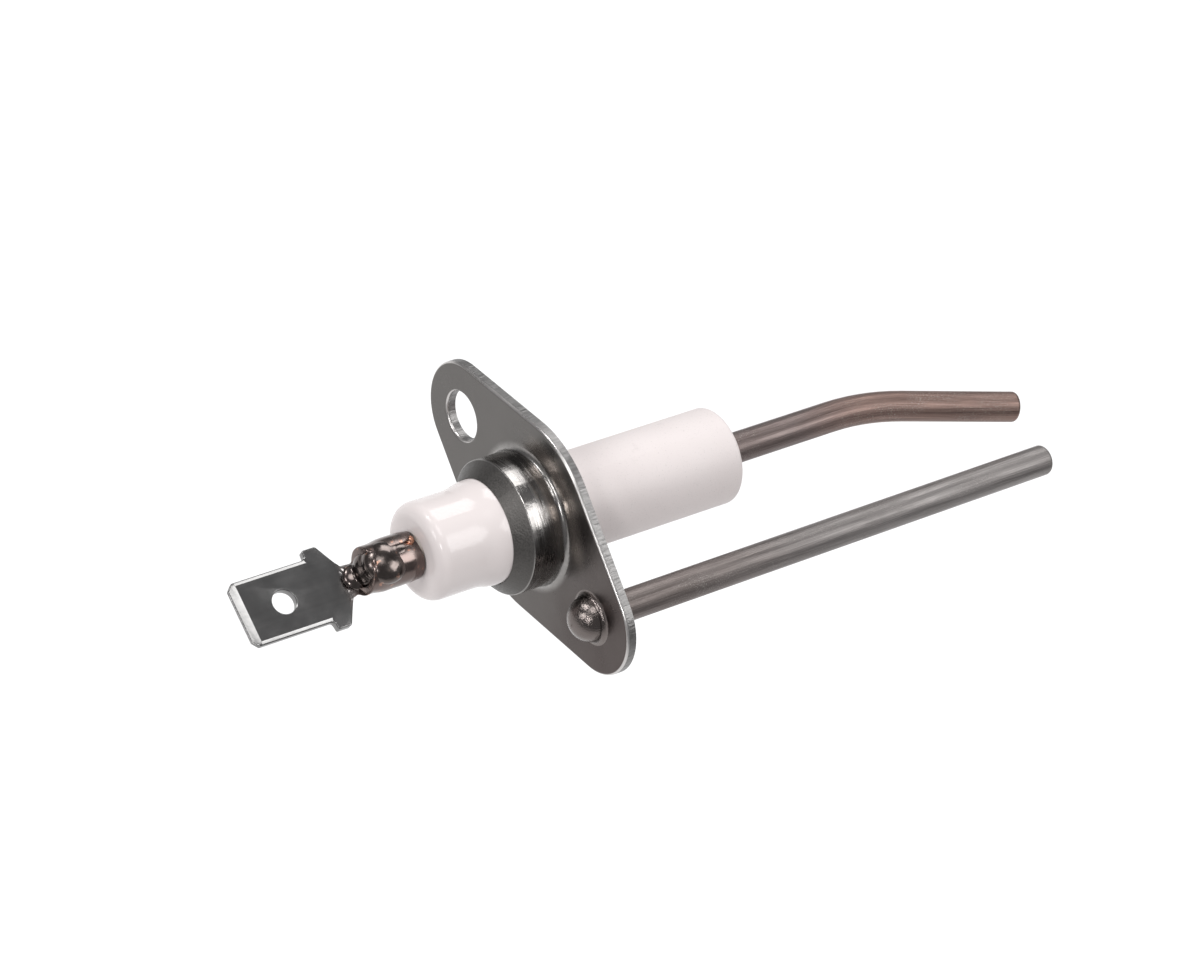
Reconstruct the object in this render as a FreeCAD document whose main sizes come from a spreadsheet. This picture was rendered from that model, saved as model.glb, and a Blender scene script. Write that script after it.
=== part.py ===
import FreeCAD, Part

import math
import os

import Sketcher

# Flanged two-rod ignition electrode for a gas burner. All lengths are millimetres.
# Frame: X runs along the insulator towards the spark tips and Y points to the mounting hole,
# so both rods lie in the XY plane and the terminal's tab faces Z. The origin is on the
# insulator's axis, in the plane of the flange's front (seating) face.

DRIVING_SIZES = [
    # rods
    ("rod_radius", 1.5),
    ("rod_end_round", 0.4),
    ("spark_rod_rear", 18.3),
    ("spark_bend_start", 34.8),
    ("spark_bend_radius", 25.0),
    ("spark_bend_angle", 18.9),
    ("spark_tip_run", 12.4),
    ("ground_offset", 11.8),
    ("ground_reach", 53.75),
    ("ground_dome_radius", 2.15),
    ("ground_dome_height", 1.75),
    ("ground_head_fillet", 0.5),
    # flange
    ("sheet_thickness", 1.0),
    ("plate_middle_radius", 10.0),
    ("plate_end_radius", 5.3),
    ("plate_end_offset", 12.05),
    ("plate_edge_round", 0.3),
    ("hole_offset", 12.1),
    ("hole_radius", 2.4),
    ("hole_edge_round", 0.3),
    ("neck_radius", 6.45),
    ("neck_length", 4.5),
    ("neck_root_round", 0.5),
    ("swage_radius", 5.05),
    ("swage_reach", 5.92),
    ("swage_land", 0.4),
    # insulator
    ("barrel_rear_reach", 13.45),
    ("barrel_rear_radius", 4.65),
    ("barrel_rear_round", 1.2),
    ("flare_start", 8.7),
    ("flare_end", 6.1),
    ("flare_radius", 5.0),
    ("seat_radius", 5.4),
    ("rear_shoulder_reach", 4.9),
    ("front_shoulder_start", -0.16),
    ("collar_radius", 6.2),
    ("collar_front", 2.4),
    ("collar_step", 0.5),
    ("barrel_front_radius", 4.7),
    ("barrel_front_reach", 20.7),
    ("barrel_front_round", 0.4),
    ("bore_radius", 1.6),
    ("cement_radius", 2.1),
    ("cement_depth", 2.0),
    ("cement_recess", 0.1),
    # packing rings
    ("rear_ring_reach", 4.96),
    ("rear_ring_radius", 5.24),
    ("rear_ring_wire", 0.2),
    ("front_ring_reach", 0.233),
    ("front_ring_radius", 5.683),
    ("front_ring_wire", 0.24),
    # terminal
    ("terminal_roll", 11.35),
    ("strip_thickness", 0.8),
    ("crimp_outer_radius", 2.35),
    ("crimp_rear_reach", 18.8),
    ("crimp_front_reach", 13.6),
    ("seam_angle", 76.0),
    ("seam_half_angle", 6.0),
    ("braze_half_angle", 5.5),
    ("tab_tip_reach", 31.0),
    ("tab_half_width", 3.15),
    ("tab_corner", 0.6),
    ("tab_bevel", 0.25),
    ("tab_hole_reach", 26.45),
    ("tab_hole_radius", 1.15),
    ("shoulder_reach", 22.8),
    ("shoulder_half_width", 4.0),
    ("shoulder_end_reach", 21.2),
    ("neck_strip_reach", 19.9),
    ("neck_strip_half_width", 1.5),
    ("shoulder_corner_round", 0.4),
]

doc = FreeCAD.newDocument("ignition_electrode")
sheet = doc.addObject("Spreadsheet::Sheet", "sizes")
for row, (alias, value) in enumerate(DRIVING_SIZES, start=1):
    sheet.set(f"A{row}", alias)
    sheet.set(f"B{row}", str(value))
    sheet.setAlias(f"B{row}", alias)
doc.recompute()


class Size:
    """A length, ratio or angle (degrees) kept both as a sheet expression and as a number."""

    def __init__(self, text, value):
        self.text = text
        self.value = value

    def _join(self, other, sign, value):
        return Size(f"({self.text} {sign} {other.text})", value)

    def __add__(self, other):
        return self._join(other, "+", self.value + other.value)

    def __sub__(self, other):
        return self._join(other, "-", self.value - other.value)

    def __mul__(self, other):
        return self._join(other, "*", self.value * other.value)

    def __truediv__(self, other):
        return self._join(other, "/", self.value / other.value)

    def __neg__(self):
        return Size(f"(0 - {self.text})", -self.value)


def size(alias):
    return Size(f"sizes.{alias}", dict(DRIVING_SIZES)[alias])


def number(value):
    return Size(repr(value), value)


def sine(angle):
    return Size(f"sin({angle.text} * 1deg)", math.sin(math.radians(angle.value)))


def cosine(angle):
    return Size(f"cos({angle.text} * 1deg)", math.cos(math.radians(angle.value)))


def arc_sine(ratio):
    return Size(f"(asin({ratio.text}) / 1deg)", math.degrees(math.asin(ratio.value)))


ZERO = number(0)
LEFT = 1
RIGHT = -1
ROD = size("rod_radius")
SHEET = size("sheet_thickness")
STRIP = size("strip_thickness")


def bind(feature, prop, amount):
    feature.setExpression(prop, amount.text)


def new_body(label):
    body = doc.addObject("PartDesign::Body", label)
    body.Label = label
    return body


def new_sketch(body, role, name, offset=None):
    """A sketch on one of the body's origin planes, moved along the plane's normal if asked."""
    sketch = body.newObject("Sketcher::SketchObject", name)
    plane = next(f for f in body.Origin.OriginFeatures if f.Role == role)
    sketch.AttachmentSupport = [(plane, "")]
    sketch.MapMode = "FlatFace"
    if offset is not None:
        bind(sketch, "AttachmentOffset.Base.z", offset)
    return sketch


def vector(point):
    return FreeCAD.Vector(point[0].value, point[1].value, 0)


def pin_point(sketch, edge, end, point):
    for axis, amount in (("DistanceX", point[0]), ("DistanceY", point[1])):
        index = sketch.addConstraint(Sketcher.Constraint(axis, -1, 1, edge, end, amount.value))
        sketch.setExpression(f"Constraints[{index}]", amount.text)


def arc_between(start, end, radius, side):
    """The short arc from start to end that bulges to the given side of the way along it."""
    chord = end - start
    middle = (start + end) * 0.5
    across = FreeCAD.Vector(-chord.y, chord.x, 0).normalize()
    rise = math.sqrt(max(radius**2 - (chord.Length / 2) ** 2, 0))
    centre = middle - across * rise * side
    top = centre + across * radius * side
    return Part.Arc(start, top, end)


def draw(sketch, points, closed=True):
    """Draws a path. A point is (x, y), or (x, y, radius, side) if an arc leads to the next."""
    count = len(points) if closed else len(points) - 1
    for index in range(count):
        here = points[index]
        there = points[(index + 1) % len(points)]
        if len(here) == 2:
            edge = sketch.addGeometry(Part.LineSegment(vector(here), vector(there)))
            pin_point(sketch, edge, 1, here)
            pin_point(sketch, edge, 2, there)
            continue
        radius, side = here[2], here[3]
        edge = sketch.addGeometry(arc_between(vector(here), vector(there), radius.value, side))
        starts_first = sketch.getPoint(edge, 1).distanceToPoint(vector(here)) < 1e-6
        pin_point(sketch, edge, 1 if starts_first else 2, here)
        pin_point(sketch, edge, 2 if starts_first else 1, there)
        index = sketch.addConstraint(Sketcher.Constraint("Radius", edge, radius.value))
        sketch.setExpression(f"Constraints[{index}]", radius.text)


def draw_circle(sketch, centre, radius):
    upright = FreeCAD.Vector(0, 0, 1)
    edge = sketch.addGeometry(Part.Circle(vector(centre), upright, radius.value))
    pin_point(sketch, edge, 3, centre)
    index = sketch.addConstraint(Sketcher.Constraint("Radius", edge, radius.value))
    sketch.setExpression(f"Constraints[{index}]", radius.text)


def revolve(body, name, points):
    """Turns a profile of (x, radius) points about the body's X axis."""
    sketch = new_sketch(body, "XZ_Plane", f"{name}_profile")
    draw(sketch, points)
    turned = body.newObject("PartDesign::Revolution", name)
    turned.Profile = sketch
    turned.ReferenceAxis = (sketch, ["H_Axis"])
    turned.Angle = 360
    return turned


def pad(body, sketch, name, length):
    feature = body.newObject("PartDesign::Pad", name)
    feature.Profile = sketch
    bind(feature, "Length", length)
    return feature


def cut_through(body, name, centre, radius, role="YZ_Plane"):
    """Cuts a round hole through the whole body, both ways from an origin plane."""
    sketch = new_sketch(body, role, f"{name}_circle")
    draw_circle(sketch, centre, radius)
    hole = body.newObject("PartDesign::Pocket", name)
    hole.Profile = sketch
    hole.Type = "ThroughAll"
    hole.Midplane = True
    return hole


def dress(body, kind, name, amount, chosen):
    """Fillets or chamfers the edges of the body's last feature that the test accepts."""
    doc.recompute()
    base = body.Tip
    edges = [f"Edge{i}" for i, e in enumerate(base.Shape.Edges, start=1) if chosen(e)]
    feature = body.newObject(f"PartDesign::{kind}", name)
    feature.Base = (base, edges)
    bind(feature, "Radius" if kind == "Fillet" else "Size", amount)
    return feature


def lies_on(edge, axis, place):
    """Whether the whole edge lies in the plane where the coordinate has this value."""
    low = getattr(edge.BoundBox, f"{axis}Min")
    high = getattr(edge.BoundBox, f"{axis}Max")
    return abs(low - place.value) < 1e-4 and abs(high - place.value) < 1e-4


def is_round(edge, radius):
    circle = edge.Curve.TypeId == "Part::GeomCircle"
    return circle and abs(edge.Curve.Radius - radius.value) < 1e-4


def mounting_flange():
    """Stamped plate with a neck drawn to the rear and swaged in over the insulator."""
    body = new_body("mounting_flange")
    middle = size("plate_middle_radius")
    end = size("plate_end_radius")
    offset = size("plate_end_offset")
    lean = arc_sine((middle - end) / offset)
    half_width = middle * cosine(lean)
    side_end = middle * sine(lean)
    tip_half_width = end * cosine(lean)
    tip_start = offset + end * sine(lean)
    outline = new_sketch(body, "YZ_Plane", "plate_outline", offset=-SHEET)
    draw(
        outline,
        [
            (tip_start, -tip_half_width, end, RIGHT),
            (tip_start, tip_half_width),
            (side_end, half_width, middle, RIGHT),
            (-side_end, half_width),
            (-tip_start, tip_half_width, end, RIGHT),
            (-tip_start, -tip_half_width),
            (-side_end, -half_width, middle, RIGHT),
            (side_end, -half_width),
        ],
    )
    pad(body, outline, "plate", SHEET)
    throat = size("neck_radius") - SHEET
    bend = size("neck_root_round") + SHEET
    cut_through(body, "neck_opening", (ZERO, ZERO), throat + bend)
    root = size("neck_root_round")
    neck = size("neck_radius")
    reach = size("swage_reach")
    lip = size("swage_radius")
    land = size("swage_land")
    revolve(
        body,
        "neck",
        [
            (-SHEET, neck + root, root, LEFT),
            (-SHEET - root, neck),
            (-size("neck_length"), neck),
            (-reach, lip),
            (land - reach, lip),
            (land - reach + throat - lip, throat),
            (-bend, throat, bend, RIGHT),
            (ZERO, throat + bend),
            (ZERO, throat + bend + root),
            (-SHEET, throat + bend + root),
        ],
    )
    hole = size("hole_radius")
    cut_through(body, "mounting_hole", (size("hole_offset"), ZERO), hole)
    cut_through(body, "ground_rod_hole", (-size("ground_offset"), ZERO), ROD)

    def rear_rim(edge):
        return lies_on(edge, "X", -SHEET) and is_round(edge, hole)

    def rear_outline(edge):
        straight = edge.Curve.TypeId == "Part::GeomLine"
        plate_arc = is_round(edge, middle) or is_round(edge, end)
        return lies_on(edge, "X", -SHEET) and (straight or plate_arc)

    dress(body, "Fillet", "rolled_hole_edge", size("hole_edge_round"), rear_rim)
    dress(body, "Fillet", "rolled_plate_edge", size("plate_edge_round"), rear_outline)
    return body


def ceramic_insulator():
    """Alumina body: glazed rear barrel, hidden seat and collar, long front barrel, one bore."""
    body = new_body("ceramic_insulator")
    bore = size("bore_radius")
    pocket = size("cement_radius")
    depth = size("cement_depth")
    rear = -size("barrel_rear_reach")
    front = size("barrel_front_reach")
    rear_radius = size("barrel_rear_radius")
    rear_round = size("barrel_rear_round")
    front_radius = size("barrel_front_radius")
    front_round = size("barrel_front_round")
    flare = size("flare_radius")
    flare_start = -size("flare_start")
    flare_end = -size("flare_end")
    run = flare_end - flare_start
    rise = flare - rear_radius
    flare_curve = (run * run + rise * rise) / (number(4) * rise)
    seat = size("seat_radius")
    collar = size("collar_radius")
    collar_front = size("collar_front")
    step = size("collar_step")
    shoulder = -size("rear_shoulder_reach")
    nose = size("front_shoulder_start")
    revolve(
        body,
        "insulator",
        [
            (rear, pocket),
            (rear, rear_radius - rear_round, rear_round, LEFT),
            (rear + rear_round, rear_radius),
            (flare_start, rear_radius, flare_curve, RIGHT),
            (flare_start + run / number(2), rear_radius + rise / number(2), flare_curve, LEFT),
            (flare_end, flare),
            (shoulder, flare),
            (shoulder + seat - flare, seat),
            (nose, seat),
            (nose + collar - seat, collar),
            (collar_front - step, collar),
            (collar_front, collar - step),
            (collar_front, front_radius),
            (front - front_round, front_radius, front_round, LEFT),
            (front, front_radius - front_round),
            (front, pocket),
            (front - depth, pocket),
            (front - depth, bore),
            (rear + depth, bore),
            (rear + depth, pocket),
        ],
    )
    return body


def spark_electrode_rod():
    """Round heat-resistant wire through the insulator, bent towards the ground rod."""
    body = new_body("spark_electrode_rod")
    rear = -size("spark_rod_rear")
    start = size("spark_bend_start")
    bend = size("spark_bend_radius")
    angle = size("spark_bend_angle")
    run = size("spark_tip_run")
    bend_end = start + bend * sine(angle)
    drop = bend * (number(1) - cosine(angle))
    path = new_sketch(body, "XY_Plane", "rod_path")
    draw(
        path,
        [
            (rear, ZERO),
            (start, ZERO, bend, LEFT),
            (bend_end, -drop),
            (bend_end + run * cosine(angle), -drop - run * sine(angle)),
        ],
        closed=False,
    )
    section = new_sketch(body, "YZ_Plane", "rod_section", offset=rear)
    draw_circle(section, (ZERO, ZERO), ROD)
    rod = body.newObject("PartDesign::AdditivePipe", "rod")
    rod.Profile = section
    rod.Spine = (path, ["Edge1", "Edge2", "Edge3"])
    ends = (rear.value, (bend_end + run * cosine(angle)).value)

    def end_rim(edge):
        near_end = min(abs(edge.BoundBox.Center.x - place) for place in ends) < 0.2
        return edge.Curve.TypeId != "Part::GeomLine" and near_end

    dress(body, "Fillet", "rod_ends", size("rod_end_round"), end_rim)
    return body


def ground_electrode_rod():
    """Cold-headed rod pressed into the plate: round head behind it, straight shank in front."""
    body = new_body("ground_electrode_rod")
    dome = size("ground_dome_radius")
    height = size("ground_dome_height")
    fillet = size("ground_head_fillet")
    dome_curve = (dome * dome + height * height) / (number(2) * height)
    tip_round = size("rod_end_round")
    reach = size("ground_reach")
    revolve(
        body,
        "headed_rod",
        [
            (-SHEET - fillet - height, ZERO, dome_curve, LEFT),
            (-SHEET - fillet, dome, fillet, RIGHT),
            (-SHEET, dome + fillet),
            (-SHEET, ROD),
            (reach - tip_round, ROD, tip_round, LEFT),
            (reach, ROD - tip_round),
            (reach, ZERO),
        ],
    )
    bind(body, "Placement.Base.y", -size("ground_offset"))
    return body


def ring_section(sketch, inner, outer, start, stop):
    """A part of a ring between two angles, in degrees, counted from the sketch's X axis."""
    middle = (start + stop) / number(2)
    corners = []
    for radius, first, last in ((outer, start, stop), (inner, stop, start)):
        side = RIGHT if radius is outer else LEFT
        for angle in (first, middle):
            corners.append((radius * cosine(angle), radius * sine(angle), radius, side))
        corners.append((radius * cosine(last), radius * sine(last)))
    draw(sketch, corners)


def spade_terminal():
    """Strip terminal: flat tab with stop shoulders, and a barrel rolled round the spark rod."""
    body = new_body("spade_terminal")
    outer = size("crimp_outer_radius")
    inner = outer - STRIP
    seam = size("seam_angle")
    gap = size("seam_half_angle")
    crimp_front = -size("crimp_front_reach")
    crimp_rear = -size("crimp_rear_reach")
    section = new_sketch(body, "YZ_Plane", "crimp_section", offset=crimp_rear)
    ring_section(section, inner, outer, seam + gap - number(360), seam - gap)
    pad(body, section, "crimp_barrel", crimp_front - crimp_rear)

    half = size("tab_half_width")
    tip = -size("tab_tip_reach")
    corner = size("tab_corner")
    shoulder = size("shoulder_half_width")
    stop = -size("shoulder_reach")
    stop_end = -size("shoulder_end_reach")
    neck = -size("neck_strip_reach")
    neck_half = size("neck_strip_half_width")
    overlap = crimp_rear + STRIP
    upper = [
        (tip, half - corner),
        (tip + corner, half),
        (stop, half),
        (stop, shoulder),
        (stop_end, shoulder),
        (neck, neck_half),
        (overlap, neck_half),
    ]
    lower = [(x, -w) for x, w in reversed(upper)]
    outline = new_sketch(body, "XY_Plane", "tab_outline", offset=-outer)
    draw(outline, upper + lower)
    pad(body, outline, "tab", STRIP)
    place = (-size("tab_hole_reach"), ZERO)
    cut_through(body, "tab_hole", place, size("tab_hole_radius"), role="XY_Plane")

    def bevelled(edge):
        box = edge.BoundBox
        straight = edge.Curve.TypeId == "Part::GeomLine"
        on_face = lies_on(edge, "Z", -outer) or lies_on(edge, "Z", -inner)
        on_blade = box.XMax < stop.value + 1e-3
        inside = max(abs(box.YMin), abs(box.YMax)) < half.value + 1e-3
        return straight and on_face and on_blade and inside

    def shoulder_corner(edge):
        box = edge.BoundBox
        upright = box.ZMax - box.ZMin > STRIP.value - 0.01
        at_shoulder = abs(max(abs(box.YMin), abs(box.YMax)) - shoulder.value) < 1e-3
        return upright and at_shoulder

    dress(body, "Fillet", "shoulder_corners", size("shoulder_corner_round"), shoulder_corner)
    dress(body, "Chamfer", "tab_bevel_edges", size("tab_bevel"), bevelled)
    bind(body, "Placement.Rotation.Angle", size("terminal_roll"))
    body.Placement.Rotation.Axis = FreeCAD.Vector(1, 0, 0)
    return body


def terminal_braze():
    """Copper braze that fills the barrel's seam and holds the terminal on the rod."""
    body = new_body("terminal_braze")
    outer = size("crimp_outer_radius")
    seam = size("seam_angle")
    half = size("braze_half_angle")
    rear = STRIP - size("crimp_rear_reach")
    front = -size("crimp_front_reach") - STRIP
    section = new_sketch(body, "YZ_Plane", "braze_section", offset=rear)
    ring_section(section, ROD, outer - STRIP / number(4), seam - half, seam + half)
    pad(body, section, "seam_fill", front - rear)
    bind(body, "Placement.Rotation.Angle", size("terminal_roll"))
    body.Placement.Rotation.Axis = FreeCAD.Vector(1, 0, 0)
    return body


def cement_plug(label, outer_face, inner_face):
    """Ring of refractory cement between the rod and one end of the insulator's bore."""
    body = new_body(label)
    pocket = size("cement_radius")
    corners = [(outer_face, ROD), (outer_face, pocket), (inner_face, pocket), (inner_face, ROD)]
    revolve(body, "cement", corners)
    return body


def packing_ring(label, place, radius, wire):
    """Soft wire ring that carries the load between the steel neck and the ceramic."""
    ring = doc.addObject("Part::Torus", label)
    ring.Label = label
    bind(ring, "Radius1", radius)
    bind(ring, "Radius2", wire)
    bind(ring, "Placement.Base.x", place)
    ring.Placement.Rotation = FreeCAD.Rotation(FreeCAD.Vector(0, 1, 0), 90)
    return ring


def cement_plugs():
    depth = size("cement_depth")
    recess = size("cement_recess")
    rear = -size("barrel_rear_reach")
    front = size("barrel_front_reach")
    return [
        cement_plug("rear_cement_plug", rear + recess, rear + depth),
        cement_plug("front_cement_plug", front - recess, front - depth),
    ]


def packing_rings():
    rings = []
    for end in ("rear", "front"):
        place = -size(f"{end}_ring_reach")
        radius = size(f"{end}_ring_radius")
        wire = size(f"{end}_ring_wire")
        rings.append(packing_ring(f"{end}_packing_ring", place, radius, wire))
    return rings


subparts = [
    mounting_flange(),
    ceramic_insulator(),
    spark_electrode_rod(),
    ground_electrode_rod(),
    spade_terminal(),
    terminal_braze(),
]
subparts += cement_plugs()
subparts += packing_rings()
doc.recompute()

for item in doc.Objects:
    if "Invalid" in item.State or "Error" in item.State:
        raise RuntimeError(f"{item.Label} did not rebuild: {item.State}")

os.makedirs("parts", exist_ok=True)
for part in subparts:
    if part.Shape.isNull() or not part.Shape.isValid():
        raise RuntimeError(f"{part.Label} has no valid shape")
    part.Shape.exportStep(f"parts/{part.Label}.step")
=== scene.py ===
"""Looks of the ignition electrode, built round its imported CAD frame.

The scene is in metres and the named sizes are in millimetres, in the part's own frame: +X runs
along the electrode to its tips, +Y towards the mounting hole, and +Z is the side that the
terminal's tab faces."""

import math

import bmesh
import bpy
from mathutils import Matrix, Vector, noise


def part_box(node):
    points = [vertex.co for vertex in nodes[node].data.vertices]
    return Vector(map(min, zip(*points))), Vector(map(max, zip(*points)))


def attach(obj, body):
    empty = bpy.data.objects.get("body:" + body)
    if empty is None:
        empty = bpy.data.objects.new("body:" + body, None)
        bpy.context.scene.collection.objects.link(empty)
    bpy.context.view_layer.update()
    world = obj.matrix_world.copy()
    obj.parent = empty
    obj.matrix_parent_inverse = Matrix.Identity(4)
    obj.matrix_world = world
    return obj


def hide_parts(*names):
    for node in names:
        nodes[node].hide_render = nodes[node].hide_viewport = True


MM = 0.001

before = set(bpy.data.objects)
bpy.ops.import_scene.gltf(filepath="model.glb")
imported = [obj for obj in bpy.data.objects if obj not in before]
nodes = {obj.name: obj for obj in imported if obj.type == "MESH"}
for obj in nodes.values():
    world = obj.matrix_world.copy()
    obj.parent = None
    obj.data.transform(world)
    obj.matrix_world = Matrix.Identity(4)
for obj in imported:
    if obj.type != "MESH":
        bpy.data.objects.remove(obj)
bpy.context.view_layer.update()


# ---------------------------------------------------------------- sizes
def box_mm(name):
    """Lowest and highest corner of a CAD node, in millimetres."""
    low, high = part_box(name)
    return low / MM, high / MM


FLANGE_LOW, _ = box_mm("mounting_flange")
TERMINAL_LOW, TERMINAL_HIGH = box_mm("spade_terminal")
TERMINAL_ROLL = math.radians(11.35)

# Where one finish gives way to the next: the coordinate or radius at which the change starts and ends.
NECK_RIM = -4.5
MOUTH_EDGE = (NECK_RIM - 0.02, NECK_RIM - 0.12)
NECK_FOOT = (-1.6, -1.9)
NECK_SKIRT = (6.6, 7.4)
PLATE_INNER = (6.9, 7.1)
# Reach, height and side of a brighter patch of metal beside the neck: a painted reflection of the
# neck's highlights in the plate.
REFLECTION_PATCH_REACH = (9.4, 7.6)
REFLECTION_PATCH_HEIGHT = (2.0, 4.5)
REFLECTION_PATCH_SIDE = (4.5, 1.0)
# Where the plate is painted darker and browner towards -Y: painted shade.
PALE_TO_BROWN = (6.0, -12.0)
GLAZE_END = (0.0, 2.0)
SPARK_BROWNING = (-4.0, 8.0)
WARM_TO_GREY = (14.0, 34.0)
GROUND_HEAD = (-0.6, -0.9)
TERMINAL_BROWNING = (-20.0, -18.2)
COPPER_FROM = (-15.3, -14.4)

SPARK_BEND_START = 34.8
SPARK_BEND_END = 42.9
SPARK_BEND_ANGLE = math.radians(18.9)
SPARK_BEND_RADIUS = (SPARK_BEND_END - SPARK_BEND_START) / math.sin(SPARK_BEND_ANGLE)


# ---------------------------------------------------------------- materials
class Finish:
    """A procedural material: one Principled shader, and short names for the nodes that feed it."""

    def __init__(self, name, **values):
        self.material = bpy.data.materials.new(name)
        self.material.use_nodes = True
        self.tree = self.material.node_tree
        self.shader = self.tree.nodes["Principled BSDF"]
        for socket, value in values.items():
            self.shader.inputs[socket.replace("_", " ").title()].default_value = value
        self.place = self.tree.nodes.new("ShaderNodeTexCoord").outputs["Object"]
        split = self.tree.nodes.new("ShaderNodeSeparateXYZ")
        self.tree.links.new(self.place, split.inputs[0])
        self.x, self.y, self.z = split.outputs

    def feed(self, socket, value):
        """Links a socket to another node's output, or sets it to a number or a colour."""
        if isinstance(value, bpy.types.NodeSocket):
            self.tree.links.new(value, socket)
        else:
            socket.default_value = value

    def use(self, name, value):
        self.feed(self.shader.inputs[name], value)

    def math(self, operation, a, b=0.0):
        node = self.tree.nodes.new("ShaderNodeMath")
        node.operation = operation
        self.feed(node.inputs[0], a)
        self.feed(node.inputs[1], b)
        return node.outputs[0]

    def plus(self, a, b):
        return self.math("ADD", a, b)

    def times(self, a, b):
        return self.math("MULTIPLY", a, b)

    def length(self, a, b):
        """Distance of (a, b) from zero."""
        return self.math("SQRT", self.plus(self.math("POWER", a, 2.0), self.math("POWER", b, 2.0)))

    def radius(self):
        """Distance from the electrode's axis, in metres."""
        return self.length(self.y, self.z)

    def stretch(self, scale, vector=None):
        """The place, scaled: a small factor draws a pattern out along that axis."""
        node = self.tree.nodes.new("ShaderNodeMapping")
        node.inputs["Scale"].default_value = scale
        self.feed(node.inputs[0], vector or self.place)
        return node.outputs[0]

    def noise(self, size, detail=3.0, roughness=0.5, vector=None, distortion=0.0):
        """Clouds about size millimetres across, from 0 to 1."""
        node = self.tree.nodes.new("ShaderNodeTexNoise")
        node.inputs["Scale"].default_value = 1 / (size * MM)
        node.inputs["Detail"].default_value = detail
        node.inputs["Roughness"].default_value = roughness
        node.inputs["Distortion"].default_value = distortion
        self.feed(node.inputs["Vector"], vector or self.place)
        return node.outputs["Fac"]

    def between(self, value, low, high, at_low=0.0, at_high=1.0):
        """A smooth step from at_low to at_high as value goes from low to high."""
        node = self.tree.nodes.new("ShaderNodeMapRange")
        node.interpolation_type = "SMOOTHSTEP"
        self.feed(node.inputs["Value"], value)
        node.inputs["From Min"].default_value = low
        node.inputs["From Max"].default_value = high
        node.inputs["To Min"].default_value = at_low
        node.inputs["To Max"].default_value = at_high
        return node.outputs["Result"]

    def past(self, distance, start, end):
        """A smooth step from 0 to 1 as a distance in metres goes from start to end in millimetres."""
        return self.between(distance, start * MM, end * MM)

    def varied(self, clouds, low, high):
        """A value that goes from low to high over the middle of some clouds."""
        return self.between(clouds, 0.3, 0.7, low, high)

    def blend(self, share, a, b):
        """Colour a where share is 0 and b where it is 1."""
        node = self.tree.nodes.new("ShaderNodeMix")
        node.data_type = "RGBA"
        self.feed(node.inputs["Factor"], share)
        for socket, value in zip((node.inputs[6], node.inputs[7]), (a, b)):
            self.feed(socket, value if isinstance(value, bpy.types.NodeSocket) else (*value, 1.0))
        return node.outputs[2]

    def mix(self, share, a, b):
        """Number a where share is 0 and b where it is 1."""
        node = self.tree.nodes.new("ShaderNodeMix")
        node.data_type = "FLOAT"
        self.feed(node.inputs["Factor"], share)
        self.feed(node.inputs[2], a)
        self.feed(node.inputs[3], b)
        return node.outputs[0]

    def relief(self, height, depth, below=None):
        """Bumps of the given depth in millimetres, on top of another relief."""
        node = self.tree.nodes.new("ShaderNodeBump")
        node.inputs["Distance"].default_value = depth * MM
        self.feed(node.inputs["Height"], height)
        if below is not None:
            self.feed(node.inputs["Normal"], below)
        return node.outputs["Normal"]

    def normal_x(self):
        """How much the surface faces along the electrode, from -1 to 1."""
        split = self.tree.nodes.new("ShaderNodeSeparateXYZ")
        self.feed(split.inputs[0], self.tree.nodes.new("ShaderNodeNewGeometry").outputs["Normal"])
        return split.outputs[0]

    def join(self, x, y, z):
        node = self.tree.nodes.new("ShaderNodeCombineXYZ")
        for socket, value in zip(node.inputs, (x, y, z)):
            self.feed(socket, value)
        return node.outputs[0]


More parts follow.
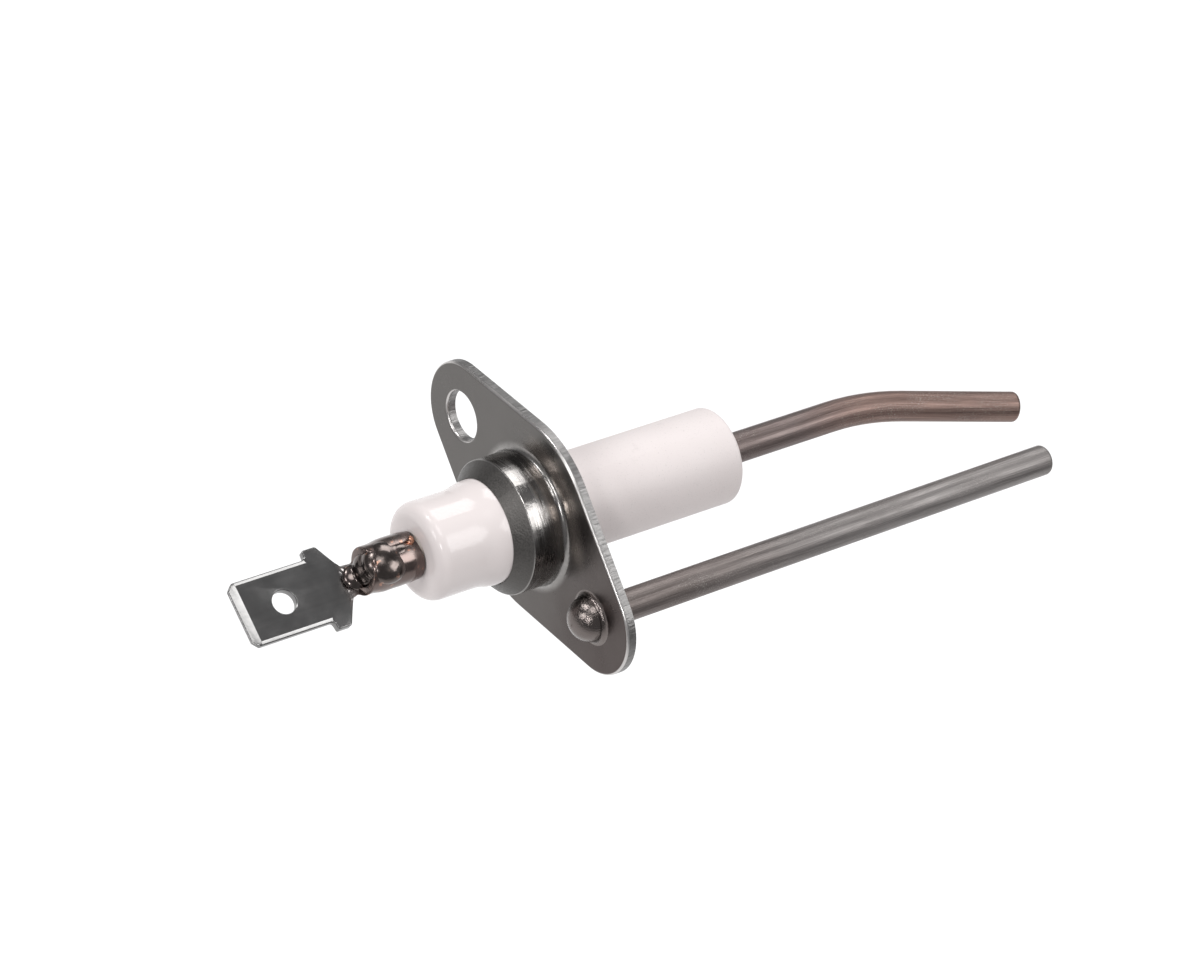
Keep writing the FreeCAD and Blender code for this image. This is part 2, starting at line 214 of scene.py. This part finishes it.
def plated_steel():
    """Plated sheet: spun marks on its drawn neck, sheared edges, and a dull swaged-in mouth."""
    f = Finish("plated_steel", metallic=1.0)
    clouds = f.noise(5.0, detail=4.0)
    scoring = f.noise(0.5, detail=4.0, vector=f.stretch((0.3, 1.0, 1.0)))
    spun = f.noise(0.42, detail=3.0, vector=f.stretch((1.0, 0.07, 0.07)))
    crinkle = f.noise(1.2, detail=2.0, distortion=0.4)
    pits = f.noise(0.16, detail=3.0)
    shear = f.noise(0.22, detail=3.0, vector=f.stretch((0.2, 1.0, 1.0)))

    facing = f.math("ABSOLUTE", f.normal_x())
    outside = f.past(f.radius(), *NECK_SKIRT)
    off_neck = f.past(f.radius(), *PLATE_INNER)
    on_plate = f.times(outside, f.math("SUBTRACT", 1.0, f.past(f.x, *NECK_FOOT)))
    edge = f.times(f.between(facing, 0.30, 0.12), off_neck)
    rolled = f.times(f.between(facing, 0.97, 0.80), off_neck)
    mouth = f.times(f.past(f.x, *MOUTH_EDGE), f.between(facing, 0.3, 0.5))
    # A brighter, more reflective patch of the plate beside the neck, placed where the neck's highlights
    # show in it: a painted reflection.
    beside_neck = f.times(f.past(f.z, *REFLECTION_PATCH_HEIGHT), f.past(f.radius(), *REFLECTION_PATCH_REACH))
    painted_reflection_patch = f.times(beside_neck, f.past(f.y, *REFLECTION_PATCH_SIDE))

    # Painted shade: the plate goes from the pale tone to a darker brown towards -Y.
    pale = f.blend(clouds, (0.108, 0.102, 0.097), (0.142, 0.134, 0.128))
    painted_shade_brown = f.blend(clouds, (0.054, 0.043, 0.040), (0.096, 0.078, 0.074))
    painted_shade_share = f.past(f.plus(f.y, f.times(clouds, 8 * MM)), *PALE_TO_BROWN)
    flat = f.blend(painted_shade_share, pale, painted_shade_brown)
    # Painted reflection: over that patch the plate turns to a brighter metal colour.
    plate_with_painted_reflection = f.blend(f.times(painted_reflection_patch, 0.8), flat, (0.50, 0.44, 0.40))
    plate = f.blend(rolled, plate_with_painted_reflection, (0.55, 0.53, 0.52))
    neck = f.blend(scoring, (0.19, 0.182, 0.176), (0.31, 0.298, 0.288))
    sheared = f.blend(shear, (0.10, 0.098, 0.096), (0.32, 0.312, 0.308))
    dull = f.blend(pits, (0.055, 0.052, 0.050), (0.145, 0.138, 0.132))
    stamped = f.blend(edge, f.blend(on_plate, neck, plate), sheared)
    f.use("Base Color", f.blend(mouth, stamped, dull))

    gloss = f.mix(outside, f.varied(spun, 0.17, 0.30), f.varied(clouds, 0.24, 0.34))
    f.use("Roughness", f.mix(mouth, f.mix(edge, gloss, 0.42), f.varied(pits, 0.38, 0.55)))

    waves = f.relief(f.noise(5.0, detail=1.0), 0.06)
    scored = f.relief(f.times(scoring, f.mix(outside, 1.0, 0.06)), 0.012, waves)
    worked = f.times(f.plus(spun, crinkle), f.mix(outside, 1.0, 0.05))
    torn = f.relief(f.times(shear, edge), 0.05, f.relief(worked, 0.028, scored))
    f.use("Normal", f.relief(f.times(pits, f.mix(mouth, 0.12, 1.0)), 0.03, torn))
    return f.material


def glazed_alumina():
    """White alumina: glazed behind the flange, bare and matte in front of it."""
    f = Finish("glazed_alumina")
    f.use("Specular IOR Level", 0.28)
    clouds = f.noise(5.0, detail=3.0)
    speckle = f.noise(0.15, detail=2.0)
    front = f.past(f.x, *GLAZE_END)
    clean = f.blend(clouds, (0.665, 0.606, 0.597), (0.708, 0.653, 0.644))
    handled = f.between(f.noise(2.2, detail=5.0, roughness=0.65), 0.60, 0.80)
    smudged = f.blend(f.times(f.times(front, handled), 0.5), clean, (0.50, 0.46, 0.45))
    grey_grains = f.times(front, f.between(speckle, 0.60, 0.80))
    f.use("Base Color", f.blend(grey_grains, smudged, (0.56, 0.52, 0.51)))
    f.use("Roughness", f.mix(front, f.varied(clouds, 0.13, 0.20), f.varied(speckle, 0.5, 0.65)))
    grain = f.relief(f.times(speckle, front), 0.008)
    f.use("Normal", f.relief(f.noise(1.6, detail=1.0), 0.012, grain))
    return f.material


def along_spark_rod(f):
    """The place in the spark rod as if it were straight: (along it, across its bend, up), and along."""
    sine, cosine = math.sin(SPARK_BEND_ANGLE), math.cos(SPARK_BEND_ANGLE)
    bend_radius = SPARK_BEND_RADIUS * MM
    from_start = f.math("SUBTRACT", f.x, SPARK_BEND_START * MM)
    from_centre = f.plus(f.y, bend_radius)
    turn = f.math("ARCTAN2", from_start, from_centre)
    reach = f.length(from_start, from_centre)
    arc_across = f.math("SUBTRACT", reach, bend_radius)
    arc_along = f.times(turn, bend_radius)
    end_along = f.plus(f.times(from_start, cosine), f.times(from_centre, -sine))
    end_across = f.plus(f.times(from_start, sine), f.times(from_centre, cosine))
    past_start = f.math("GREATER_THAN", from_start, 0.0)
    past_end = f.math("GREATER_THAN", turn, SPARK_BEND_ANGLE)
    before_along = f.mix(past_start, from_start, arc_along)
    before_across = f.mix(past_start, f.y, arc_across)
    along = f.mix(past_end, before_along, f.plus(end_along, bend_radius * SPARK_BEND_ANGLE))
    across = f.mix(past_end, before_across, f.math("SUBTRACT", end_across, bend_radius))
    return f.join(along, across, f.z), along


def drawn_wire(f, place, bare, dark):
    """Colour and relief of wire with its draw marks along it. Returns the colour and the patches."""
    long_way = (0.02, 1.0, 1.0)
    marks = f.noise(0.11, detail=5.0, roughness=0.6, vector=f.stretch(long_way, place))
    bands = f.noise(0.6, detail=2.0, vector=f.stretch(long_way, place))
    patches = f.noise(2.5, detail=5.0, vector=f.stretch((0.45, 1.0, 1.0), place))
    dusty = f.noise(0.09, detail=2.0, vector=place)
    share = f.plus(f.times(marks, 0.6), f.times(bands, 0.4))
    flecks = f.times(f.between(dusty, 0.54, 0.70), f.between(patches, 0.45, 0.65))
    marked = f.blend(f.between(share, 0.30, 0.70), dark, bare)
    colour = f.blend(f.times(flecks, 0.6), marked, (0.46, 0.43, 0.41))
    f.use("Normal", f.relief(f.between(share, 0.35, 0.65), 0.010, f.relief(dusty, 0.005)))
    return colour, patches


def electrode_alloy():
    """Drawn heat-resisting wire that has turned brown from its bend on."""
    f = Finish("electrode_alloy", metallic=1.0)
    place, along = along_spark_rod(f)
    colour, patches = drawn_wire(f, place, (0.200, 0.163, 0.155), (0.112, 0.088, 0.083))
    brown, _ = drawn_wire(f, place, (0.300, 0.208, 0.180), (0.112, 0.076, 0.066))
    start = f.plus(along, f.times(patches, 6 * MM))
    f.use("Base Color", f.blend(f.past(start, *SPARK_BROWNING), colour, brown))
    f.use("Roughness", f.varied(patches, 0.40, 0.54))
    return f.material


def ground_alloy():
    """Drawn wire with a dull grey skin, and a smooth, glossy cold-formed head behind the plate."""
    f = Finish("ground_alloy", metallic=1.0)
    grey, patches = drawn_wire(f, f.place, (0.300, 0.282, 0.274), (0.165, 0.152, 0.147))
    warm, _ = drawn_wire(f, f.place, (0.235, 0.205, 0.195), (0.118, 0.100, 0.094))
    shank = f.blend(f.past(f.plus(f.x, f.times(patches, 12 * MM)), *WARM_TO_GREY), warm, grey)
    head = f.past(f.x, *GROUND_HEAD)
    worked = f.blend(patches, (0.120, 0.104, 0.098), (0.190, 0.165, 0.156))
    f.use("Base Color", f.blend(head, shank, worked))
    f.use("Roughness", f.mix(head, f.varied(patches, 0.44, 0.60), f.varied(patches, 0.12, 0.20)))
    return f.material


def terminal_steel():
    """Plated strip, turned brown where its barrel was brazed."""
    f = Finish("terminal_steel", metallic=1.0)
    clouds = f.noise(2.0, detail=4.0)
    rolled = f.noise(0.35, detail=4.0, vector=f.stretch((0.05, 1.0, 1.0)))
    spots = f.between(f.noise(0.5, detail=3.0), 0.62, 0.74)
    heat = f.past(f.plus(f.x, f.times(clouds, 1.6 * MM)), *TERMINAL_BROWNING)
    strip = f.blend(rolled, (0.175, 0.173, 0.172), (0.235, 0.231, 0.228))
    brown = f.blend(clouds, (0.085, 0.060, 0.054), (0.210, 0.170, 0.158))
    coppered = f.blend(f.times(spots, 0.7), brown, (0.46, 0.25, 0.18))
    f.use("Base Color", f.blend(heat, strip, coppered))
    f.use("Roughness", f.mix(heat, f.varied(clouds, 0.21, 0.27), f.varied(clouds, 0.12, 0.28)))
    dimpled = f.relief(f.times(f.noise(0.8, detail=1.0), heat), 0.010)
    f.use("Normal", f.relief(rolled, 0.002, f.relief(clouds, 0.006, dimpled)))
    return f.material


def braze_copper():
    """Braze run out over the seam: dark where it was overheated, copper where it is thin."""
    f = Finish("braze_copper", metallic=1.0)
    clouds = f.noise(1.0, detail=4.0)
    thin = f.math("MAXIMUM", f.past(f.x, *COPPER_FROM), f.between(clouds, 0.60, 0.72))
    dark = f.blend(f.noise(0.5), (0.070, 0.058, 0.054), (0.165, 0.140, 0.130))
    f.use("Base Color", f.blend(thin, dark, (0.62, 0.33, 0.23)))
    f.use("Roughness", f.varied(clouds, 0.16, 0.27))
    f.use("Normal", f.relief(f.noise(1.0, detail=1.0), 0.02))
    return f.material


def cement():
    """Gritty refractory cement."""
    f = Finish("cement")
    grit = f.noise(0.25, detail=5.0, roughness=0.7)
    f.use("Base Color", f.blend(grit, (0.50, 0.46, 0.42), (0.78, 0.74, 0.69)))
    f.use("Roughness", f.varied(grit, 0.75, 0.95))
    f.use("Normal", f.relief(grit, 0.05))
    return f.material


def packing_copper():
    """Soft copper wire, tarnished."""
    f = Finish("packing_copper", metallic=1.0)
    tarnish = f.noise(0.6, detail=4.0)
    f.use("Base Color", f.blend(tarnish, (0.28, 0.13, 0.08), (0.62, 0.34, 0.22)))
    f.use("Roughness", f.varied(tarnish, 0.3, 0.5))
    f.use("Normal", f.relief(tarnish, 0.01))
    return f.material


SLOTS = {
    "plated_steel": plated_steel(),
    "glazed_alumina": glazed_alumina(),
    "electrode_alloy": electrode_alloy(),
    "ground_alloy": ground_alloy(),
    "terminal_steel": terminal_steel(),
    "braze_copper": braze_copper(),
    "cement": cement(),
    "packing_copper": packing_copper(),
}
NODE_SLOTS = {
    "mounting_flange": "plated_steel",
    "ceramic_insulator": "glazed_alumina",
    "spark_electrode_rod": "electrode_alloy",
    "ground_electrode_rod": "ground_alloy",
    "spade_terminal": "terminal_steel",
    "terminal_braze": "braze_copper",
    "rear_cement_plug": "cement",
    "front_cement_plug": "cement",
    "rear_packing_ring": "packing_copper",
    "front_packing_ring": "packing_copper",
}
for node_name, slot_name in NODE_SLOTS.items():
    node = nodes[node_name]
    if node.material_slots:
        for slot in node.material_slots:
            slot.link = "OBJECT"
            slot.material = SLOTS[slot_name]
    else:
        node.data.materials.append(SLOTS[slot_name])


# ---------------------------------------------------------------- the brazed spade terminal
STRIP = 0.8
CRIMP_OUTER = TERMINAL_HIGH.z
CRIMP_MIDDLE = CRIMP_OUTER - STRIP / 2
CRIMP_REAR = TERMINAL_HIGH.x - 5.2
TAB_TIP = TERMINAL_LOW.x
TAB_HALF_WIDTH = 3.15
TAB_CORNER = 0.6
TAB_HOLE_PLACE = TAB_TIP + 4.55
TAB_HOLE_RADIUS = 1.15
TAB_STOP = TAB_TIP + 8.2
SHOULDER_END = TAB_STOP + 1.5
SHOULDER_HALF_WIDTH = 4.0
NECK_START = TAB_STOP + 2.9
NECK_HALF_WIDTH = 1.5
SHORT_WING_ROOT = CRIMP_REAR + 0.1
LONG_WING_ROOT = CRIMP_REAR - 0.6
SEAM_ANGLE = math.radians(76)
SEAM_HALF_GAP = math.radians(4)
FLOOR_ANGLE = math.radians(-90)
# Shallow bevels coined on the tab: their widths, and the share of the thickness left at the edge.
LEAD_IN = 0.8
LEAD_IN_LEFT = 0.35
SIDE_BEVEL = 0.36
SIDE_BEVEL_LEFT = 0.7
# Where the flat strip starts to curl and where it is fully round, and the width of its facets.
CURL_START = CRIMP_REAR - 1.5
CURL_LENGTH = 0.85
FACET_START = CRIMP_REAR - 1.6
FACET = 0.2


def rounded(corners, step=math.radians(12)):
    """A path through (x, y, radius) corners, with each corner turned by an arc of its radius."""
    path = []
    for index, (x, y, radius) in enumerate(corners):
        here = Vector((x, y))
        if not radius:
            path.append(here)
            continue
        before = (Vector(corners[index - 1][:2]) - here).normalized()
        after = (Vector(corners[index + 1][:2]) - here).normalized()
        half = before.angle(after) / 2
        centre = here + (before + after).normalized() * radius / math.sin(half)
        start = here + before * radius / math.tan(half)
        end = here + after * radius / math.tan(half)
        turn = (start - centre).angle_signed(end - centre)
        count = max(2, math.ceil(abs(turn) / step))
        for part in range(count + 1):
            spoke = start - centre
            spoke.rotate(Matrix.Rotation(-turn * part / count, 2))
            path.append(centre + spoke)
    return path


def blank_side(wing, side, root):
    """Half of the terminal's flat blank on one side of its centre line; its wing starts at x = root."""
    half_turn = [math.radians(angle) for angle in range(0, 181, 12)]
    half_hole = [
        (TAB_HOLE_PLACE + TAB_HOLE_RADIUS * math.cos(turn), TAB_HOLE_RADIUS * math.sin(turn))
        for turn in half_turn
    ]
    corners = [
        (TAB_TIP, 0.0, 0.0),
        (TAB_TIP, TAB_HALF_WIDTH - TAB_CORNER, 0.15),
        (TAB_TIP + TAB_CORNER, TAB_HALF_WIDTH, 0.25),
        (TAB_STOP, TAB_HALF_WIDTH, 0.35),
        (TAB_STOP + 0.1, SHOULDER_HALF_WIDTH, 0.2),
        (SHOULDER_END, SHOULDER_HALF_WIDTH, 0.3),
        (NECK_START, NECK_HALF_WIDTH, 0.3),
        (root, NECK_HALF_WIDTH, 0.2),
        (CRIMP_REAR + 0.1, wing, 0.9),
        (TERMINAL_HIGH.x, wing, 1.5),
        (TERMINAL_HIGH.x, 0.0, 0.0),
    ]
    outline = [(p.x, p.y) for p in rounded(corners)] + half_hole
    return [(x, y * side) for x, y in outline]


def bell(distance):
    """1 at zero, falling off smoothly to both sides."""
    return math.exp(-(distance**2))


def dents(x, turn):
    """How far the crimped barrel stands in from a true cylinder, in millimetres."""
    rear, front = x - CRIMP_REAR, x - TERMINAL_HIGH.x
    pinched = 0.16 * bell(rear / 0.9) + 0.10 * bell(front / 0.8)
    pressed = 0.14 * bell((rear - 1.3) / 0.7) * bell((turn - math.radians(20)) / 0.5)
    marked = 0.12 * bell((rear - 3.2) / 0.6) * bell((turn - math.radians(150)) / 0.5)
    uneven = 0.035 * noise.noise(Vector((x * 0.8, 2.2 * math.cos(turn), 2.2 * math.sin(turn))))
    return pinched + pressed + marked + uneven


def coined(x, across):
    """Share of the strip's thickness that the shallow bevels at the tab's tip and sides leave."""
    from_tip = min(1.0, (x - TAB_TIP) / LEAD_IN)
    from_side = min(1.0, max(0.0, (TAB_HALF_WIDTH - across) / SIDE_BEVEL))
    tip = LEAD_IN_LEFT + (1 - LEAD_IN_LEFT) * from_tip
    side = 1.0 if x > TAB_STOP - 0.01 else SIDE_BEVEL_LEFT + (1 - SIDE_BEVEL_LEFT) * from_side
    return min(tip, side)


def formed(point):
    """Where a point of the flat blank goes when the strip is rolled round the rod."""
    x, y, z = point
    share = min(1.0, max(0.0, (x - CURL_START) / CURL_LENGTH))
    rolled = share * share * (3 - 2 * share)
    curve = max(rolled, 1e-4) / CRIMP_MIDDLE
    turn = y * curve
    height = z * coined(x, abs(y))
    if rolled > 0.5:
        height += dents(x, FLOOR_ANGLE + turn) * (2 * rolled - 1)
    across = math.sin(turn) * (1 / curve - height)
    up = (1 - math.cos(turn)) * (1 / curve) + math.cos(turn) * height
    return Vector((x, across, up - CRIMP_MIDDLE))


def as_object(shape, name, sharp):
    """Makes an object of a bmesh in millimetres, after turning it by the terminal's roll."""
    roll = Matrix.Rotation(TERMINAL_ROLL, 4, "X")
    bmesh.ops.transform(shape, matrix=Matrix.Scale(MM, 4) @ roll, verts=shape.verts)
    bmesh.ops.recalc_face_normals(shape, faces=shape.faces)
    mesh = bpy.data.meshes.new(name)
    shape.to_mesh(mesh)
    shape.free()
    mesh.shade_smooth()
    mesh.set_sharp_from_angle(angle=math.radians(sharp))
    made = bpy.data.objects.new(name, mesh)
    bpy.context.scene.collection.objects.link(made)
    return made


def slice_at(shape, axis, place, after=-math.inf, before=math.inf):
    """Cuts the faces that cross a plane, of those that lie between two values of x."""
    normal = (1, 0, 0) if axis == "x" else (0, 1, 0)
    point = (place, 0, 0) if axis == "x" else (0, place, 0)
    chosen = [f for f in shape.faces if after < f.calc_center_median().x < before]
    edges = {edge for face in chosen for edge in face.edges}
    verts = {vert for face in chosen for vert in face.verts}
    crossed = [*verts, *edges, *chosen]
    bmesh.ops.bisect_plane(shape, geom=crossed, plane_co=point, plane_no=normal, dist=1e-5)


def is_rim(edge):
    """Whether a level edge of the blank joins a flat face to the cut side."""
    first, second = edge.verts
    level = abs(first.co.z - second.co.z) < 1e-6
    return edge.is_manifold and abs(edge.calc_face_angle() - math.pi / 2) < 0.1 and level


def spade_terminal():
    """The terminal, stamped flat, bevelled, cut into narrow facets and rolled up."""
    long_wing = CRIMP_MIDDLE * (FLOOR_ANGLE - SEAM_ANGLE + 2 * math.pi - SEAM_HALF_GAP)
    short_wing = CRIMP_MIDDLE * (SEAM_ANGLE - FLOOR_ANGLE - SEAM_HALF_GAP)
    shape = bmesh.new()
    for wing, side, root in ((short_wing, 1, SHORT_WING_ROOT), (long_wing, -1, LONG_WING_ROOT)):
        corners = [shape.verts.new((x, y, -STRIP / 2)) for x, y in blank_side(wing, side, root)]
        shape.faces.new(corners if side > 0 else corners[::-1])
    bmesh.ops.remove_doubles(shape, verts=shape.verts, dist=1e-5)
    raised = bmesh.ops.extrude_face_region(shape, geom=shape.faces[:], use_keep_orig=True)
    tops = [item for item in raised["geom"] if isinstance(item, bmesh.types.BMVert)]
    bmesh.ops.translate(shape, verts=tops, vec=(0, 0, STRIP))
    bmesh.ops.recalc_face_normals(shape, faces=shape.faces)
    rims = [edge for edge in shape.edges if is_rim(edge)]
    bmesh.ops.bevel(shape, geom=rims, offset=0.12, segments=4, profile=0.5, affect="EDGES")
    slice_at(shape, "x", TAB_TIP + LEAD_IN)
    slice_at(shape, "x", TAB_STOP)
    for side in (-1, 1):
        slice_at(shape, "y", side * (TAB_HALF_WIDTH - SIDE_BEVEL), before=TAB_STOP)
    for step in range(math.ceil((TERMINAL_HIGH.x - FACET_START) / FACET)):
        slice_at(shape, "x", FACET_START + FACET * step)
    for step in range(1, math.ceil((long_wing + short_wing) / FACET)):
        slice_at(shape, "y", FACET * step - long_wing, after=FACET_START)
    for vertex in shape.verts:
        vertex.co = formed(vertex.co)
    return as_object(shape, "terminal_blade_and_barrel", sharp=14)


def run_together(name, lumps, fineness):
    """Once-molten metal: ellipsoids of (centre, radii), joined into one skin and smoothed."""
    shape = bmesh.new()
    for centre, radii in lumps:
        place = Matrix.Translation(centre) @ Matrix.Diagonal((*radii, 1.0))
        bmesh.ops.create_icosphere(shape, subdivisions=3, radius=1.0, matrix=place)
    made = as_object(shape, name, sharp=180)
    joined = made.modifiers.new("joined", "REMESH")
    joined.mode = "VOXEL"
    joined.voxel_size = fineness * MM
    joined.use_smooth_shade = True
    smooth = made.modifiers.new("smooth", "SMOOTH")
    smooth.factor = 0.5
    smooth.iterations = 16
    graph = bpy.context.evaluated_depsgraph_get()
    result = bpy.data.meshes.new_from_object(made.evaluated_get(graph))
    made.modifiers.clear()
    made.data = result
    return made


def round_barrel(x, angle, radius):
    """A point at a radius from the rod's axis, at an angle in the terminal's rolled frame."""
    turn = math.radians(angle)
    return Vector((x, radius * math.cos(turn), radius * math.sin(turn)))


blade = spade_terminal()
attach(blade, "root")
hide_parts("spade_terminal")
blade.data.materials.append(SLOTS["terminal_steel"])

# The braze: each lump's x, its angle and distance from the rod's axis, and its three radii.
BRAZE_LUMPS = [
    (-17.1, 102, 1.20, (2.20, 2.05, 1.32)),
    (-15.6, 86, 1.60, (1.60, 0.90, 0.80)),
    (-18.4, -90, 0.1, (1.05, 1.66, 1.62)),
    (-19.0, -90, 1.25, (1.40, 1.35, 0.60)),
    (-14.0, 58, 1.75, (0.45, 0.50, 0.50)),
    (-13.9, 112, 1.65, (0.35, 0.50, 0.40)),
]
lumps = [(round_barrel(x, angle, radius), radii) for x, angle, radius, radii in BRAZE_LUMPS]
braze = run_together("braze_fillet", lumps, fineness=0.09)
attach(braze, "root")
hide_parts("terminal_braze")
braze.data.materials.append(SLOTS["braze_copper"])


# ---------------------------------------------------------------- the studio
LIGHT_DISTANCE = 0.55
FLOOR_HALF_SIZE = 3.0
FLOOR_DROP = 90.0
CAMERA_EYE = Vector((-185.02, -141.60, 277.03)) * MM
CAMERA_AIM = Vector((0.52683, 0.38955, -0.75545))
CAMERA_UP = Vector((0.26483, 0.76932, 0.58139))


def direction(azimuth, elevation):
    """A unit vector at an azimuth from +X towards +Y and an elevation above the floor, in degrees."""
    turn, rise = math.radians(azimuth), math.radians(elevation)
    return Vector((math.cos(turn) * math.cos(rise), math.sin(turn) * math.cos(rise), math.sin(rise)))


def softbox(name, azimuth, elevation, size, radiance):
    """A square studio light, its size in metres, that faces the object."""
    lamp = bpy.data.lights.new(name, "AREA")
    lamp.shape = "SQUARE"
    lamp.size = size
    lamp.energy = radiance * math.pi * size * size
    placed = bpy.data.objects.new(name, lamp)
    towards = direction(azimuth, elevation)
    placed.location = towards * LIGHT_DISTANCE
    placed.rotation_euler = towards.to_track_quat("Z", "Y").to_euler()
    bpy.context.scene.collection.objects.link(placed)


softbox("overhead_light", 150, 82, 0.20, 5.5)
softbox("top_light", 50, 38, 0.26, 4.8)
softbox("right_light", -40, 48, 0.26, 5.6)
softbox("left_light", 118, 44, 0.11, 18.0)
softbox("low_left_light", 172, 32, 0.14, 12.0)
softbox("camera_light", -150, 39, 0.08, 30.0)

world = bpy.data.worlds.new("studio")
world.use_nodes = True
world.node_tree.nodes["Background"].inputs["Color"].default_value = (0.27, 0.27, 0.275, 1.0)
bpy.context.scene.world = world

floor_mesh = bpy.data.meshes.new("floor")
floor_shape = bmesh.new()
bmesh.ops.create_grid(floor_shape, x_segments=1, y_segments=1, size=FLOOR_HALF_SIZE)
floor_shape.to_mesh(floor_mesh)
floor_shape.free()
floor = bpy.data.objects.new("floor", floor_mesh)
floor.location = (0.0, 0.0, (FLANGE_LOW.z - FLOOR_DROP) * MM)
bpy.context.scene.collection.objects.link(floor)
paper = Finish("floor_paper", roughness=0.9)
paper.use("Base Color", paper.blend(paper.noise(80.0), (0.93, 0.93, 0.93), (0.95, 0.95, 0.95)))
floor_mesh.materials.append(paper.material)

camera = bpy.data.objects.new("camera", bpy.data.cameras.new("camera"))
camera.data.sensor_width = 36.0
camera.data.lens = 118.30
camera.data.clip_start = 0.01
back = -CAMERA_AIM.normalized()
right = CAMERA_UP.cross(back).normalized()
turn = Matrix((right, back.cross(right), back)).transposed()
camera.matrix_world = Matrix.Translation(CAMERA_EYE) @ turn.to_4x4()
bpy.context.scene.collection.objects.link(camera)
bpy.context.scene.camera = camera
bpy.context.scene.view_settings.view_transform = "Standard"
